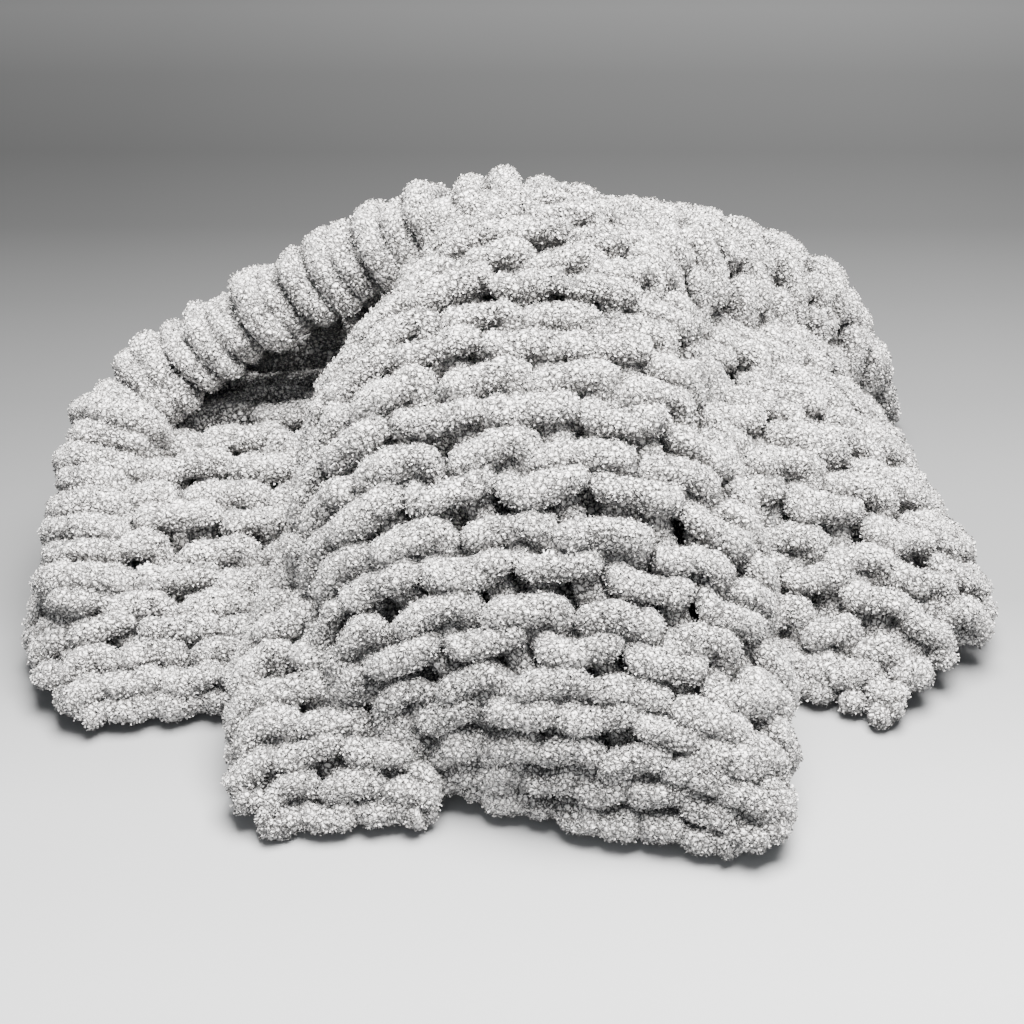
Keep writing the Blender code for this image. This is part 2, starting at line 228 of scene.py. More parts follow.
def wave(points, phase):
    """Slow unevenness of the sheet."""
    x, y, z = np.moveaxis(points * 2 * math.pi / WAVE_LENGTH, 2, 0)
    return WAVE * np.sin(x + z / 2 + phase) * np.cos(y - x / 2 + 2 * phase)


def blurred(grid, axes):
    """A grid of vectors evened out over its neighbours."""
    for axis in axes:
        wide = np.concatenate((grid.take([0], axis), grid, grid.take([-1], axis)), axis)
        count = grid.shape[axis]
        grid = sum(wide.take(range(k, k + count), axis) for k in range(3)) / 3
    return grid


class Fold:
    """A fold's outside, which can be read at any place and stitch, past its sides as well."""

    def __init__(self, table, stitches, phase):
        self.stitches = stitches
        self.first, self.last = table[0][0], table[-1][0]
        rows = int(round((self.last - self.first) * GRID_PER_ROW))
        columns = int(round((stitches + 2 * OVERHANG) * GRID_PER_STITCH))
        self.places = np.linspace(self.first, self.last, rows + 1)
        self.along = np.linspace(-OVERHANG, stitches + OVERHANG, columns + 1)
        get = {name: column(table, COLUMNS, name, self.places) for name in COLUMNS[1:]}
        fine = np.linspace(-1.0, 1.0, ARCH_POINTS)
        angle = np.abs(fine) * math.pi / 2
        grid = np.zeros((len(self.places), len(self.along), 3))
        for i in range(len(self.places)):
            reach = np.where(fine < 0, get["left"][i], get["right"][i])
            fall = np.where(fine < 0, get["fall_left"][i], get["fall_right"][i])
            out = np.sign(fine) * reach * np.sin(angle) ** (2 / SHOULDER)
            down = fall * (1 - np.abs(np.cos(angle)) ** (2 / SHOULDER))
            down = down + out * math.tan(math.radians(get["lean"][i]))
            length = np.concatenate(([0.0], np.cumsum(np.hypot(np.diff(out), np.diff(down)))))
            at = self.along / stitches * length[-1]
            over = np.maximum(at - length[-1], 0.0) + np.maximum(-at, 0.0)
            side = np.where(at < 0, -1.0, 1.0)
            tuck = OVERHANG_TUCK * (1 - np.exp(-over / OVERHANG_TUCK))
            out, down = np.interp(at, length, out) - side * tuck, np.interp(at, length, down) + over
            turn = math.radians(get["turn"][i])
            grid[i, :, 0] = get["x"][i] + out * math.cos(turn)
            grid[i, :, 1] = get["y"][i] + out * math.sin(turn)
            grid[i, :, 2] = get["z"][i] - down
        self.level = grid[..., 2].copy()
        ends = [np.searchsorted(self.along, 0.0), np.searchsorted(self.along, stitches)]
        low_left, low_right = self.level[:, ends[0]] < FREE_EDGE, self.level[:, ends[1]] < FREE_EDGE
        self.hangs = np.ones_like(self.level)
        self.hangs[:, :ends[0]] = np.where(low_left, 0.0, 1.0)[:, None]
        self.hangs[:, ends[1] + 1:] = np.where(low_right, 0.0, 1.0)[:, None]
        grid[..., 2] = LOWEST + SOFTNESS * np.logaddexp(0.0, (grid[..., 2] - LOWEST) / SOFTNESS)
        solid = grid.copy()
        solid[..., 2] = np.maximum(self.level, DEEPEST)
        normal = np.cross(np.gradient(solid, axis=0), np.gradient(solid, axis=1))
        normal /= np.maximum(np.linalg.norm(normal, axis=2, keepdims=True), TINY)
        middle = len(self.along) // 2
        if normal[:, middle, 2].mean() < 0:
            normal = -normal
        normal = blurred(normal, (0, 1) * NORMAL_BLURS)
        normal /= np.maximum(np.linalg.norm(normal, axis=2, keepdims=True), TINY)
        self.normal = normal
        self.points = grid + normal * wave(grid, phase)[..., None]
        self.points[..., :2] += SHIFT

    def read(self, grid, place, along):
        """The grid's value between its points."""
        i = np.clip((place - self.first) * GRID_PER_ROW, 0, len(self.places) - 1.001)
        j = np.clip((along + OVERHANG) * GRID_PER_STITCH, 0, len(self.along) - 1.001)
        i0, j0 = i.astype(int), j.astype(int)
        u, v = i - i0, j - j0
        if grid.ndim == 3:
            u, v = u[..., None], v[..., None]
        return ((1 - u) * (1 - v) * grid[i0, j0] + u * (1 - v) * grid[i0 + 1, j0]
                + (1 - u) * v * grid[i0, j0 + 1] + u * v * grid[i0 + 1, j0 + 1])


# Noise
def lattice(cell, seed):
    """An even random number from -1 to 1 for each whole-numbered cell."""
    h = (cell[..., 0] * 73856093) ^ (cell[..., 1] * 19349663) ^ (cell[..., 2] * 83492791) ^ (seed * 2654435)
    h &= 0xFFFFFFFF
    h = ((h ^ (h >> 15)) * 2246822519) & 0xFFFFFFFF
    h = ((h ^ (h >> 13)) * 3266489917) & 0xFFFFFFFF
    h ^= h >> 16
    return h / 0x7FFFFFFF - 1.0


def noise(points, length, seed):
    """Smooth noise from -1 to 1 with lumps of the given length."""
    spot = points / length
    base = np.floor(spot).astype(np.int64)
    f = spot - base
    f = f * f * (3 - 2 * f)
    total = np.zeros(points.shape[:-1])
    for corner in range(8):
        step = np.array([(corner >> k) & 1 for k in range(3)])
        weight = np.prod(np.where(step, f, 1 - f), axis=-1)
        total += weight * lattice(base + step, seed)
    return total


# Tubes of yarn
EVENLY = np.arange(SIDES) / SIDES * 2 * math.pi
AROUND = EVENLY - SIDES_OUTSIDE * np.sin(EVENLY)
# painted shade: the pile is coloured darker towards the yarn's sides
GROOVE_PAINTED_SHADE_TONE = GROOVE_PAINTED_SHADE * (np.cos(AROUND) - 1)


def tube(centre, normal, radius):
    """Rings of points round a yarn's middle line, closer together on its outer side."""
    ahead = np.gradient(centre, axis=0)
    ahead /= np.maximum(np.linalg.norm(ahead, axis=1, keepdims=True), TINY)
    up = normal - ahead * np.sum(normal * ahead, axis=1, keepdims=True)
    up /= np.maximum(np.linalg.norm(up, axis=1, keepdims=True), TINY)
    side = np.cross(ahead, up)
    way = (up[:, None] * (np.cos(AROUND) * FLATTENED)[None, :, None]
           + side[:, None] * np.sin(AROUND)[None, :, None])
    return centre[:, None] + way * radius[:, None, None], way


def rise(t):
    """How far out the yarn lies along a loop: 1 on the bows, -1 on the legs."""
    dive = np.tanh(DIVE_STEEP * (np.cos(2 * t) + DIVE_AT))
    return np.clip(dive / math.tanh(DIVE_STEEP * (1 - DIVE_AT)), -1, 1)


def bow(t):
    """How far along the rows the yarn lies: 1 and -1 on the two bows."""
    return np.tanh(LOOP_FLAT * np.cos(t)) / math.tanh(LOOP_FLAT)


def loop_steps():
    """Where along one loop the rings go: close together on the bows, wide apart on the legs."""
    t = np.linspace(0, 2 * math.pi, LOOP_POINTS)
    across = STITCH * (t / (2 * math.pi) + LOOP_SWAY * np.sin(2 * t))
    along = -ROW * LOOP_HEIGHT * bow(t)
    deep = LOOP_DEPTH * rise(t)
    length = np.sqrt(np.gradient(across) ** 2 + np.gradient(along) ** 2 + np.gradient(deep) ** 2)
    step = np.where(np.cos(2 * t) > SHOWN_TO, SHOWN_STEP, HIDDEN_STEP)
    count = np.concatenate(([0.0], np.cumsum((length / step)[1:])))
    rings = int(round(count[-1]))
    return np.interp(np.arange(rings) * count[-1] / rings, count, t)


# Unevenness of the hand knitting: how long each kind is, in bows, and its seed
UNEVEN = {"row": (1.7, 0), "row fine": (0.75, 20), "stitch": (1.9, 50), "tilt": (0.9, 70), "depth": (1.3, 90),
          "girth": (1.1, 130)}
COURSE_APART, FOLD_APART = 3.7, 11.3   # how far apart it is read for neighbouring courses and folds
WANDER_ROW = 0.021         # length of a row that its unevenness is measured against
WANDER_DEPTH = 0.6         # how much of it goes in and out
GIRTH_SPREAD = 0.07        # how much the yarn's radius varies
GROUND = -0.004            # yarn that would hang lower than this isn't made
GROUND_SOFTNESS = 0.002    # how softly the yarn comes to lie on the floor


def uneven(spot, kind, seed):
    """One kind of unevenness at places along a course."""
    length, own_seed = UNEVEN[kind]
    return noise(spot, length, seed + own_seed)


def course(fold, number, seed, steps):
    """The middle line of one course of loops across a fold, with its outward direction and radius."""
    loops = np.arange(-int(OVERHANG), int(math.ceil(fold.stitches + OVERHANG)))
    t = (loops[:, None] * 2 * math.pi + steps[None, :]).ravel()
    middle = 2 * number + FIRST_LOOP
    place = middle - LOOP_HEIGHT * bow(t)
    out = rise(t)
    if middle + LOOP_HEIGHT <= fold.last + HEM_REACH and middle - LOOP_HEIGHT >= fold.first - HEM_REACH:
        beyond = np.clip(place - fold.last - HEM, 0.0, 1.0) + np.clip(fold.first - HEM - place, 0.0, 1.0)
        place = np.clip(place, fold.first - HEM, fold.last + HEM)
        out = out - (1 + out) * np.minimum(beyond * 2, 1.0) * HEM_TUCK
    along = t / (2 * math.pi) + LOOP_SWAY * np.sin(2 * t)
    spot = np.stack((t / math.pi, np.full_like(t, number * COURSE_APART),
                     np.full_like(t, seed * FOLD_APART)), axis=-1)
    place = place + (uneven(spot, "row", seed) + uneven(spot, "row fine", seed)) * WANDER / WANDER_ROW
    number_of_bow = np.round(t / math.pi)
    tilt_spot = np.stack((number_of_bow, spot[:, 1], spot[:, 2]), axis=-1)
    tilt = BOW_TILT + BOW_TILT_SPREAD * uneven(tilt_spot, "tilt", seed)
    place = place - tilt * (along - number_of_bow / 2) * np.maximum(rise(t), 0.0) * STITCH / WANDER_ROW
    along = along + uneven(spot, "stitch", seed) * WANDER / STITCH
    depth = (OUTER * FLATTENED + LOOP_DEPTH * (1 - out)
             - uneven(spot, "depth", seed) * WANDER * WANDER_DEPTH)
    radius = YARN * (LEG + (1 - LEG) * (1 + rise(t)) / 2 + GIRTH_SPREAD * uneven(spot, "girth", seed))
    inside = (place >= fold.first - 2 * HEM) & (place <= fold.last + 2 * HEM)
    inside &= (along > -OVERHANG) & (along < fold.stitches + OVERHANG)
    inside &= fold.read(fold.level, place, along) > GROUND
    inside &= fold.read(fold.hangs, place, along) > 0.5
    normal = fold.read(fold.normal, place, along)
    normal /= np.maximum(np.linalg.norm(normal, axis=1, keepdims=True), TINY)
    centre = fold.read(fold.points, place, along) - normal * depth[:, None]
    low = radius * FLATTENED
    centre[:, 2] = low + np.logaddexp(0.0, (centre[:, 2] - low) / GROUND_SOFTNESS) * GROUND_SOFTNESS
    return centre, normal, radius, inside, out


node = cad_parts["blanket"]
tree = BVHTree.FromPolygons([node.matrix_world @ v.co for v in node.data.vertices],
                            [tuple(p.vertices) for p in node.data.polygons])


def depth_inside(points):
    """How deep each point lies inside the solid, negative outside."""
    result = np.zeros(len(points))
    for k, point in enumerate(points):
        spot, facing, face, far = tree.find_nearest(Vector(point))
        result[k] = far if (Vector(point) - spot).dot(facing) < 0 else -far
    return result


def runs(keep, least):
    """Start and end of each unbroken stretch of kept rings."""
    edge = np.flatnonzero(np.diff(np.concatenate(([0], keep.astype(int), [0]))))
    return [(a, b) for a, b in zip(edge[::2], edge[1::2]) if b - a >= least]


class Yarn:
    """Collects tubes and makes mesh pieces of them."""

    def __init__(self, name):
        self.name = name
        self.parts = []

    def add(self, centre, normal, radius, shown):
        """One tube, drawn in to rounded ends. Pile grows where it is shown."""
        count = len(centre)
        ends = np.minimum(np.arange(count), np.arange(count)[::-1])
        radius = radius * np.sqrt(np.clip(1 - (1 - np.minimum(ends / ROUND_RINGS, 1.0)) ** 2, ROUND_LEAST, 1))
        points, way = tube(centre, normal, radius)
        lump = sum(h * noise(points, l, k + LUMP_SEED) for k, (l, h) in enumerate(LUMPS))
        points = points + way * lump[..., None]
        points[..., 2] = np.maximum(points[..., 2], LOWEST_YARN)
        self.parts.append((points, way, lump, shown))

    def build(self, material):
        """The pieces, each under the limit of faces, lumpy like pile."""
        groups, group, quads = [], [], 0
        for part in self.parts:
            size = part[0].shape[0] * SIDES
            if quads + size > MOST_QUADS:
                groups.append(group)
                group, quads = [], 0
            group.append(part)
            quads += size
        groups.append(group)
        result = []
        for number, group in enumerate(groups):
            verts, faces, painted_shade_tones, base = [], [], [], 0
            for points, way, lump, shown in group:
                count = len(points)
                verts.append(points.reshape(-1, 3))
                # painted shade: the colour is darker where a lump lies low and on the yarn's sides
                painted_shade_tones.append((lump + GROOVE_PAINTED_SHADE_TONE * TIP_SCALE).ravel())
                index = base + np.arange(count * SIDES).reshape(count, SIDES)
                around = np.roll(index, -1, axis=1)
                quad = np.stack((index[:-1], around[:-1], around[1:], index[1:]), axis=-1).reshape(-1, 4)
                faces.append(quad)
                faces.append(index[0][::-1])
                faces.append(index[-1])
                base += count * SIDES
            result.append(mesh_piece(f"{self.name}_{number + 1}", verts, faces, painted_shade_tones, material))
        return result


def pile(name, parts, material):
    """Tufts scattered over the outside of the tubes."""
    dice = np.random.default_rng(PILE_SEED)
    faces_out = np.cos(EVENLY + math.pi / SIDES) > PILE_ROUND
    shares = []
    for points, way, lump, shown in parts:
        a, b, c = points[:-1], points[1:], np.roll(points[:-1], -1, axis=1)
        area = np.linalg.norm(np.cross(c - a, b - a), axis=2)
        rank = np.where(shown[:-1] > LEG_FROM, 1.0, np.where(shown[:-1] > NONE_FROM, LEG_PILE, 0.0))
        shares.append(area * rank[:, None] * faces_out[None] * (a[..., 2] > PILE_LOWEST))
    per_area = TUFTS / sum(share.sum() for share in shares)
    corners, painted_shade_tones = [], []
    for (points, way, lump, shown), share in zip(parts, shares):
        a, b = points[:-1], points[1:]
        c, d = np.roll(a, -1, axis=1), np.roll(b, -1, axis=1)
        count = np.floor(share * per_area + dice.random(share.shape)).astype(int)
        i, k = np.nonzero(count)
        times = count[i, k]
        i, k = np.repeat(i, times), np.repeat(k, times)
        u, v = dice.random((2, len(i), 1))
        root = (1 - u) * ((1 - v) * a[i, k] + v * b[i, k]) + u * ((1 - v) * c[i, k] + v * d[i, k])
        out = way[i, k] / np.linalg.norm(way[i, k], axis=1, keepdims=True)
        lean = dice.normal(size=(len(i), 3))
        lean -= out * np.sum(lean * out, axis=1, keepdims=True)
        lean /= np.maximum(np.linalg.norm(lean, axis=1, keepdims=True), TINY)
        flat = np.cross(out, lean)
        size = TUFT * dice.uniform(*TUFT_SPREAD, (len(i), 1))
        wide = TUFT_WIDTH * dice.uniform(*WIDTH_SPREAD, (len(i), 1)) / 2
        slant = TUFT_LEAN * dice.uniform(*LEAN_SPREAD, (len(i), 1))
        tip = root + (out + lean * slant) * size / np.sqrt(1 + slant ** 2)
        clump = np.minimum(np.abs(noise(root, CLUMP, CLUMP_SEED)) / CRACK, 1.0)[:, None]
        root = root + out * ((clump - 1) * CLUMP_RISE - TUFT_IN)
        tip = tip + out * (clump - 1) * CLUMP_RISE
        leaf = np.stack((root, tip + flat * wide, tip - flat * wide), 1)
        leaf[..., 2] = np.maximum(leaf[..., 2], LOWEST_LEAF)
        corners.append(leaf)
        # painted shade: darker colour at leaf roots, in the cracks between clumps and on the yarn's sides
        painted_shade_tones.append(LEAF_PAINTED_SHADE + (clump - CLUMP_MIDDLE) * CLUMP_PAINTED_SHADE + GROOVE_PAINTED_SHADE_TONE[k][:, None])
    corners, painted_shade_tones = np.concatenate(corners), np.concatenate(painted_shade_tones)
    result = []
    for number, start in enumerate(range(0, len(corners), MOST_TUFTS)):
        some = corners[start:start + MOST_TUFTS]
        index = np.arange(len(some) * 3).reshape(-1, 3)
        tip = painted_shade_tones[start:start + MOST_TUFTS].ravel() * TIP_SCALE
        result.append(mesh_piece(f"{name}_{number + 1}", [some.reshape(-1, 3)], [index], [tip], material))
    return result


def placed(name, data):
    """A new object in the scene."""
    thing = bpy.data.objects.new(name, data)
    bpy.context.scene.collection.objects.link(thing)
    return thing


def mesh_piece(name, verts, faces, painted_shade_tones, material):
    """A smooth mesh object from arrays."""
    verts = np.concatenate(verts)
    quads = [f for f in faces if f.ndim == 2]
    caps = [f for f in faces if f.ndim == 1]
    corners = np.concatenate([q.ravel() for q in quads] + caps)
    sizes = [np.full(len(q), q.shape[1]) for q in quads] + [np.array([len(c)]) for c in caps]
    sizes = np.concatenate(sizes).astype(int)
    data = bpy.data.meshes.new(name)
    data.vertices.add(len(verts))
    data.vertices.foreach_set("co", verts.astype(np.float32).ravel())
    data.loops.add(len(corners))
    data.loops.foreach_set("vertex_index", corners.astype(np.int32))
    data.polygons.add(len(sizes))
    data.polygons.foreach_set("loop_start", (np.cumsum(sizes) - sizes).astype(np.int32))
    data.polygons.foreach_set("use_smooth", np.ones(len(sizes), bool))
    data.update(calc_edges=True)
    data.validate()
    # the "tip" attribute holds painted shade: lower, rootward and side-facing pile is coloured darker
    tip = data.attributes.new("tip", "FLOAT", "POINT")
    tip.data.foreach_set("value", (np.concatenate(painted_shade_tones) / TIP_SCALE).astype(np.float32))
    data.materials.append(material)
    return placed(name, data)


# Materials
CURL = 0.0030              # size of a curl of the pile
BEND = 0.0042              # how crooked the gaps between curls are
# How light the pile is from the gaps to the middle of the curls: the pale upper stops are its own colour, the
# dark lower stops are painted shade in the gaps
PILE_COLOUR_AND_PAINTED_SHADE = ((0.170, 0.02), (0.265, 0.15), (0.350, 0.44), (0.500, 0.81))

PILE_TINT = (1.0, 0.972, 0.948)
BEND_SCALE, FUZZ_SCALE = 420.0, 1100.0   # how fine the bends and the fuzz are
FUZZ = 0.35                # how much the fuzz adds to the relief
RELIEF = 0.0022            # how deep it looks
LUMP_PAINTED_SHADE = 0.05           # painted shade: how much lighter the raised parts of the yarn and its leaves are coloured than its grooves


def tone_ramp(nodes, tones, tint):
    """A ramp through the given (place, grey) stops."""
    ramp = nodes.new("ShaderNodeValToRGB")
    stops = ramp.color_ramp.elements
    for spare in list(stops)[1:]:
        stops.remove(spare)
    for number, (place, grey) in enumerate(tones):
        stop = stops[0] if number == 0 else stops.new(place)
        stop.position = place
        stop.color = (grey * tint[0], grey * tint[1], grey * tint[2], 1)
    return ramp

def chenille(name, tint):
    """Short curly pile with fine crumbly relief; its colour carries painted shade, darker in the gaps between
    curls, at the roots and on the yarn's sides.
    """
    material = bpy.data.materials.new(name)
    material.use_nodes = True
    nodes, links = material.node_tree.nodes, material.node_tree.links
    shader = nodes["Principled BSDF"]
    shader.inputs["Roughness"].default_value = 0.9
    shader.inputs["Specular IOR Level"].default_value = 0.15
    shader.inputs["Sheen Weight"].default_value = 0.35
    shader.inputs["Sheen Roughness"].default_value = 0.45
    where = nodes.new("ShaderNodeTexCoord")
    bend = nodes.new("ShaderNodeTexNoise")
    bend.inputs["Scale"].default_value = BEND_SCALE
    bend.inputs["Detail"].default_value = 2.0
    links.new(where.outputs["Object"], bend.inputs["Vector"])
    warp = nodes.new("ShaderNodeVectorMath")
    warp.operation = "MULTIPLY_ADD"
    warp.inputs[1].default_value = (BEND, BEND, BEND)
    links.new(bend.outputs["Color"], warp.inputs[0])
    links.new(where.outputs["Object"], warp.inputs[2])
    curls = nodes.new("ShaderNodeTexVoronoi")
    curls.feature = "DISTANCE_TO_EDGE"
    curls.inputs["Scale"].default_value = 1 / CURL
    links.new(warp.outputs["Vector"], curls.inputs["Vector"])
    fuzz = nodes.new("ShaderNodeTexNoise")
    fuzz.inputs["Scale"].default_value = FUZZ_SCALE
    fuzz.inputs["Detail"].default_value = 2.0
    links.new(where.outputs["Object"], fuzz.inputs["Vector"])
    height = nodes.new("ShaderNodeMath")
    height.operation = "MULTIPLY_ADD"
    height.inputs[1].default_value = FUZZ
    links.new(fuzz.outputs["Fac"], height.inputs[0])
    links.new(curls.outputs["Distance"], height.inputs[2])
    bump = nodes.new("ShaderNodeBump")
    bump.inputs["Strength"].default_value = 1.0
    bump.inputs["Distance"].default_value = RELIEF
    links.new(height.outputs["Value"], bump.inputs["Height"])
    links.new(bump.outputs["Normal"], shader.inputs["Normal"])
    # painted shade read from the "tip" attribute
    painted_shade_attribute = nodes.new("ShaderNodeAttribute")
    painted_shade_attribute.attribute_name = "tip"
    painted_shade_mix = nodes.new("ShaderNodeMath")
    painted_shade_mix.operation = "MULTIPLY_ADD"
    painted_shade_mix.inputs[1].default_value = LUMP_PAINTED_SHADE
    links.new(painted_shade_attribute.outputs["Fac"], painted_shade_mix.inputs[0])
    links.new(height.outputs["Value"], painted_shade_mix.inputs[2])
    # painted shade: the colour follows the relief, darker in the gaps between curls
    ramp = tone_ramp(nodes, PILE_COLOUR_AND_PAINTED_SHADE, tint)
    links.new(painted_shade_mix.outputs["Value"], ramp.inputs["Fac"])
    links.new(ramp.outputs["Color"], shader.inputs["Base Color"])
    return material


# Knitting
LEAST_RUN = 7              # rings in the shortest length of yarn that is kept
FURTHEST_OUT = 0.016       # yarn further outside the solid than this isn't made
NEVER_SHOWN = -2.0         # stands for a place where no pile grows


def knit(name, table, stitches, phase, steps):
    """All courses of loops across one fold, cut off where other folds bury them."""
    fold = Fold(table, stitches, phase)
    yarn = Yarn(name)
    low = int(math.floor((fold.first - FIRST_LOOP - LOOP_HEIGHT) / 2))
    high = int(math.ceil((fold.last - FIRST_LOOP + LOOP_HEIGHT) / 2))
    for number in range(low, high + 1):
        centre, normal, radius, inside, out = course(fold, number, phase, steps)
        spots = np.flatnonzero(inside)
        if not len(spots):
            continue
        deep = np.full(len(centre), 1.0)
        deep[spots] = depth_inside(centre[spots])
        keep = inside & (deep < BURIED) & (deep > -FURTHEST_OUT)
        for start, end in runs(keep, LEAST_RUN):
            shown = np.where(deep[start:end] < OUTER + 2 * LOOP_DEPTH, out[start:end], NEVER_SHOWN)
            yarn.add(centre[start:end], normal[start:end], radius[start:end], shown)
    return yarn


# The rolled edge: one bow of yarn over the roll for each rib
RIB_FROM, RIB_TO = -2.35, 2.2   # how far round the roll a rib goes, in radians from the top
RIB_STEPS = 64             # its rings
RIB_SLANT = -0.5           # how far a rib leans along the roll, in ribs
RIB_YARN = 0.0086          # its radius
RIB_WAG = 0.12             # how uneven the ribs' spacing is, in ribs
RIB_OUT = 0.003            # how far they stand out
RIB_OUT_SPREAD = 0.0022    # and how much that varies from rib to rib
RIB_RIPPLE = 0.0012        # and along a rib
RIB_DIVE_FROM, RIB_DIVE_OVER = 1.75, 0.6   # where round the roll a rib's ends start to dive in, and how soon
RIB_DIVE = 0.012           # and how deep
RIB_SHOWN = 1.95           # how far round pile grows on it
CORE_IN = 0.008            # how far the roll's core stays inside its outline
SPINE_PER_RIB = 8          # points of the roll's middle line


def rolled_edge():
    """The roll's ribs, and the core that closes it between them."""
    yarn = Yarn("roll")
    first, last = ROLL[0][0], ROLL[-1][0]
    fine = np.linspace(first, last, (last - first) * SPINE_PER_RIB + 1)
    spine = np.stack([column(ROLL, ROLL_COLUMNS, name, fine) for name in ("x", "y", "z")], axis=1)
    thick = column(ROLL, ROLL_COLUMNS, "radius", fine)
    ahead = np.gradient(spine, axis=0)
    ahead /= np.linalg.norm(ahead, axis=1, keepdims=True)
    side = np.cross(ahead, (0.0, 0.0, 1.0))
    side /= np.linalg.norm(side, axis=1, keepdims=True)
    over = np.cross(side, ahead)
    a = np.linspace(RIB_FROM, RIB_TO, RIB_STEPS)
    dive = np.clip((np.abs(a) - RIB_DIVE_FROM) / RIB_DIVE_OVER, 0, 1)
    for rib in range(first, last + 1):
        at = rib - RIB_SLANT * np.cos(a) / 2 + RIB_WAG * math.sin(rib * 2.4)
        middle, out, top = (np.stack([np.interp(at, fine, grid[:, k]) for k in range(3)], axis=1)
                            for grid in (spine, side, over))
        girth = np.interp(at, fine, thick) + RIB_OUT + RIB_OUT_SPREAD * math.sin(rib * 2.7) - RIB_YARN
        girth = girth - dive * RIB_DIVE + RIB_RIPPLE * np.sin(3 * a + rib)
        way = out * np.sin(a)[:, None] + top * np.cos(a)[:, None]
        centre = middle + way * girth[:, None]
        centre[:, :2] += SHIFT
        centre[:, 2] = np.maximum(centre[:, 2], RIB_YARN * FLATTENED)
        size = RIB_YARN * (1 + 0.08 * math.sin(rib * 1.9) + 0.05 * np.sin(2.3 * a + rib * 1.3))
        yarn.add(centre, way, size, np.where(np.abs(a) < RIB_SHOWN, 1.0, NEVER_SHOWN))
    core = spine.copy()
    core[:, :2] += SHIFT
    yarn.add(core, over, thick - CORE_IN, np.full(len(core), NEVER_SHOWN))
    return yarn


# The layers packed under the folds, seen through the holes
LAYER_CELL = 0.008         # spacing of their points
LAYER_IN = 0.024           # how far they stay inside the outer folds to the side, and
LAYER_DOWN = 0.8           # what share of that from above
LAYER_LEAST = 0.004        # where they would be lower than this there are none
LAYER_FOOT = 0.001         # height of their underside
LAYER_SMOOTHINGS = 3
RAY_START = 0.0005         # height from which the solid's top is looked for
HOLLOW_WALL = ((-0.21, -0.02), (0.118, 0.165))  # what closes the hollow under the rolled edge, in x and y
HOLLOW_WALL_IN = 0.014     # how far it stays inside


def layer_heights(grid_x, grid_y):
    """How high the layers reach: the solid's first ceiling over the floor, drawn in from all sides."""
    tops = np.zeros((len(grid_x), len(grid_y)))
    for i, x in enumerate(grid_x):
        for j, y in enumerate(grid_y):
            hit = tree.ray_cast(Vector((x, y, RAY_START)), Vector((0, 0, 1)))
            tops[i, j] = hit[0].z if hit[0] and hit[1].z > 0 else 0.0
    reach = int(round(LAYER_IN / LAYER_CELL))
    wide = np.pad(tops, reach)
    heights = tops.copy()
    for i in range(-reach, reach + 1):
        for j in range(-reach, reach + 1):
            if i * i + j * j <= reach * reach:
                moved = wide[reach + i:reach + i + len(grid_x), reach + j:reach + j + len(grid_y)]
                heights = np.minimum(heights, moved)
    heights = heights - LAYER_IN * LAYER_DOWN
    (wall_left, wall_right), (wall_front, wall_back) = HOLLOW_WALL
    behind = (((grid_x > wall_left) & (grid_x < wall_right))[:, None]
              & ((grid_y > wall_front) & (grid_y < wall_back))[None, :])
    return np.where(behind, np.maximum(heights, tops - HOLLOW_WALL_IN), heights)


def under_layers(material):
    """The layers as one closed mound."""
    (low_x, low_y, low_z), (high_x, high_y, high_z) = SOLID_BOX
    grid_x = np.arange(low_x, high_x + LAYER_CELL, LAYER_CELL)
    grid_y = np.arange(low_y, high_y + LAYER_CELL, LAYER_CELL)
    heights = layer_heights(grid_x, grid_y)
    mesh = bmesh.new()
    spots = {(i, j): mesh.verts.new((grid_x[i], grid_y[j], heights[i, j]))
             for i, j in np.argwhere(heights > LAYER_LEAST).tolist()}
    for i, j in list(spots):
        square = [(i, j), (i + 1, j), (i + 1, j + 1), (i, j + 1)]
        if all(key in spots for key in square):
            mesh.faces.new([spots[key] for key in square])
    bmesh.ops.delete(mesh, geom=[v for v in mesh.verts if not v.link_faces], context="VERTS")
    for times in range(LAYER_SMOOTHINGS):
        bmesh.ops.smooth_vert(mesh, verts=mesh.verts[:], factor=0.5,
                              use_axis_x=True, use_axis_y=True, use_axis_z=True)
    under = bmesh.ops.extrude_face_region(mesh, geom=mesh.faces[:], use_keep_orig=True)
    for item in under["geom"]:
        if isinstance(item, bmesh.types.BMVert):
            item.co.z = LAYER_FOOT
    bmesh.ops.recalc_face_normals(mesh, faces=mesh.faces[:])
    data = bpy.data.meshes.new("under_layers")
    mesh.to_mesh(data)
    mesh.free()
    data.materials.append(material)
    for polygon in data.polygons:
        polygon.use_smooth = True
    return placed("under_layers", data)


def dressed_blanket(material):
    """All the pieces: the knitted folds, the rolled edge, their pile and the layers under them."""
    steps = loop_steps()
    yarns = [knit(name, table, stitches, phase, steps)
             for phase, (name, table, stitches) in enumerate(FOLDS)]
    yarns.append(rolled_edge())
    made = [piece for yarn in yarns for piece in yarn.build(material)]
    made += pile("pile", [tube_made for yarn in yarns for tube_made in yarn.parts], material)
    return made + [under_layers(material)]


for piece in dressed_blanket(chenille("chenille", PILE_TINT)):
    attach(piece, "root")
    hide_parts("blanket")

# Floor
SWEEP_FRONT, SWEEP_BACK, SWEEP_SIDE = -2.2, 3.2, 3.5
SHADE_RAMP_FRONT, SHADE_RAMP_LENGTH = -0.3, 1.3   # where the painted shade ramp below starts, and how far back it goes
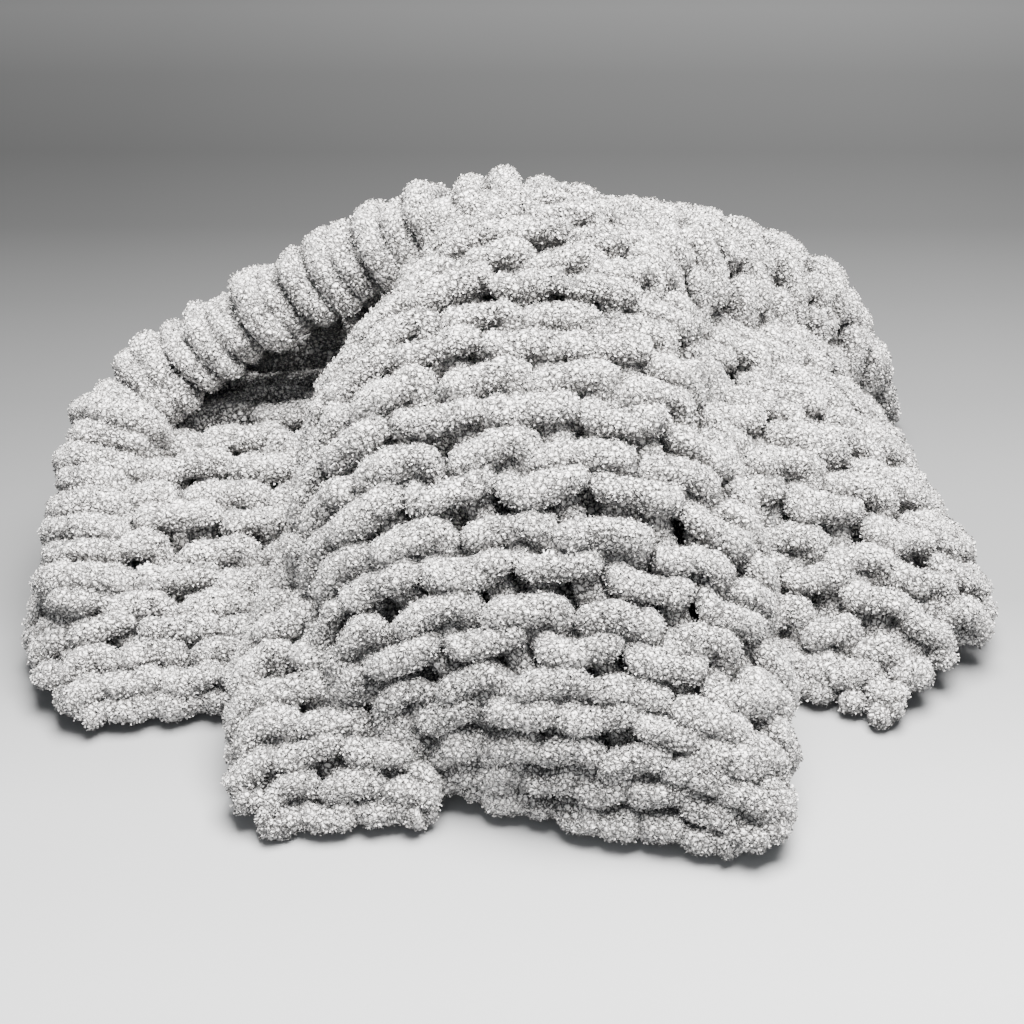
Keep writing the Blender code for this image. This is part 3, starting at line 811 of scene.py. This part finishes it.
# How light the floor is coloured at each distance back: painted shade, darker towards the back as the light
# falls off
FLOOR_PAINTED_SHADE = (
    (-0.30, 0.253), (-0.245, 0.229), (-0.18, 0.210), (-0.10, 0.155), (-0.015, 0.100), (0.085, 0.087),
    (0.20, 0.062), (0.34, 0.041), (0.46, 0.0266), (0.60, 0.0228), (0.77, 0.0304), (0.94, 0.0470),
)
SIDE_PAINTED_SHADE = ((-0.35, 0.88), (0.35, 1.12))   # and how much that painted shade changes from left to right, darker on the left
PAPER_TINT = (0.985, 1.0, 1.01)


def floor_material():
    """Pale matt floor, coloured darker towards the back and on the left as painted shade."""
    material = bpy.data.materials.new("paper")
    material.use_nodes = True
    nodes, links = material.node_tree.nodes, material.node_tree.links
    shader = nodes["Principled BSDF"]
    shader.inputs["Roughness"].default_value = 0.9
    shader.inputs["Specular IOR Level"].default_value = 0.0
    where = nodes.new("ShaderNodeTexCoord")
    parts = nodes.new("ShaderNodeSeparateXYZ")
    links.new(where.outputs["Object"], parts.inputs["Vector"])
    span = nodes.new("ShaderNodeMapRange")
    span.inputs["From Min"].default_value = SHADE_RAMP_FRONT
    span.inputs["From Max"].default_value = SHADE_RAMP_FRONT + SHADE_RAMP_LENGTH
    links.new(parts.outputs["Y"], span.inputs["Value"])
    ramp = tone_ramp(nodes, [((y - SHADE_RAMP_FRONT) / SHADE_RAMP_LENGTH, grey) for y, grey in FLOOR_PAINTED_SHADE], PAPER_TINT)
    links.new(span.outputs["Result"], ramp.inputs["Fac"])
    across = nodes.new("ShaderNodeMapRange")
    (left, left_tone), (right, right_tone) = SIDE_PAINTED_SHADE
    across.inputs["From Min"].default_value, across.inputs["From Max"].default_value = left, right
    across.inputs["To Min"].default_value, across.inputs["To Max"].default_value = left_tone, right_tone
    links.new(parts.outputs["X"], across.inputs["Value"])
    # painted shade: the floor's colour scaled darker towards the left
    painted_side_shade = nodes.new("ShaderNodeVectorMath")
    painted_side_shade.operation = "SCALE"
    links.new(ramp.outputs["Color"], painted_side_shade.inputs["Vector"])
    links.new(across.outputs["Result"], painted_side_shade.inputs["Scale"])
    links.new(painted_side_shade.outputs["Vector"], shader.inputs["Base Color"])
    return material


floor_data = bpy.data.meshes.new("floor")
floor_data.from_pydata([(-SWEEP_SIDE, SWEEP_FRONT, 0), (SWEEP_SIDE, SWEEP_FRONT, 0),
                        (SWEEP_SIDE, SWEEP_BACK, 0), (-SWEEP_SIDE, SWEEP_BACK, 0)], [], [(0, 1, 2, 3)])
floor_data.materials.append(floor_material())
floor = placed("floor", floor_data)

# Camera at the photograph's angle
ELEVATION = math.radians(38.0)
DISTANCE = 0.95
TARGET = (SHIFT[0], SHIFT[1], 0.085)
SENSOR = 36.0
FOCAL_IN_PIXELS = 1667.0
FRAME_PIXELS = 1024.0
camera_data = bpy.data.cameras.new("camera")
camera_data.sensor_width = SENSOR
camera_data.lens = SENSOR * FOCAL_IN_PIXELS / FRAME_PIXELS
camera = placed("camera", camera_data)
camera.location = Vector(TARGET) + Vector((0, -math.cos(ELEVATION), math.sin(ELEVATION))) * DISTANCE
camera.rotation_euler = (math.pi / 2 - ELEVATION, 0, 0)
bpy.context.scene.camera = camera

# Light
LIGHT_AIM = (0, 0, 0.05)


def soft_light(name, place, size, watts, color):
    """A large softbox."""
    data = bpy.data.lights.new(name, "AREA")
    data.shape = "SQUARE"
    data.size = size
    data.energy = watts
    data.color = color
    lamp = placed(name, data)
    lamp.location = place
    lamp.rotation_euler = (Vector(LIGHT_AIM) - Vector(place)).to_track_quat("-Z", "Y").to_euler()


soft_light("key", (0.15, 0.06, 1.5), 0.9, 298.0, (1.0, 0.985, 0.97))
soft_light("fill", (-0.2, -1.6, 1.3), 1.4, 10.0, (0.95, 0.975, 1.0))
world = bpy.data.worlds.new("studio")
world.use_nodes = True
world.node_tree.nodes["Background"].inputs["Color"].default_value = (0.93, 0.96, 1.0, 1)
world.node_tree.nodes["Background"].inputs["Strength"].default_value = 0.45
bpy.context.scene.world = world
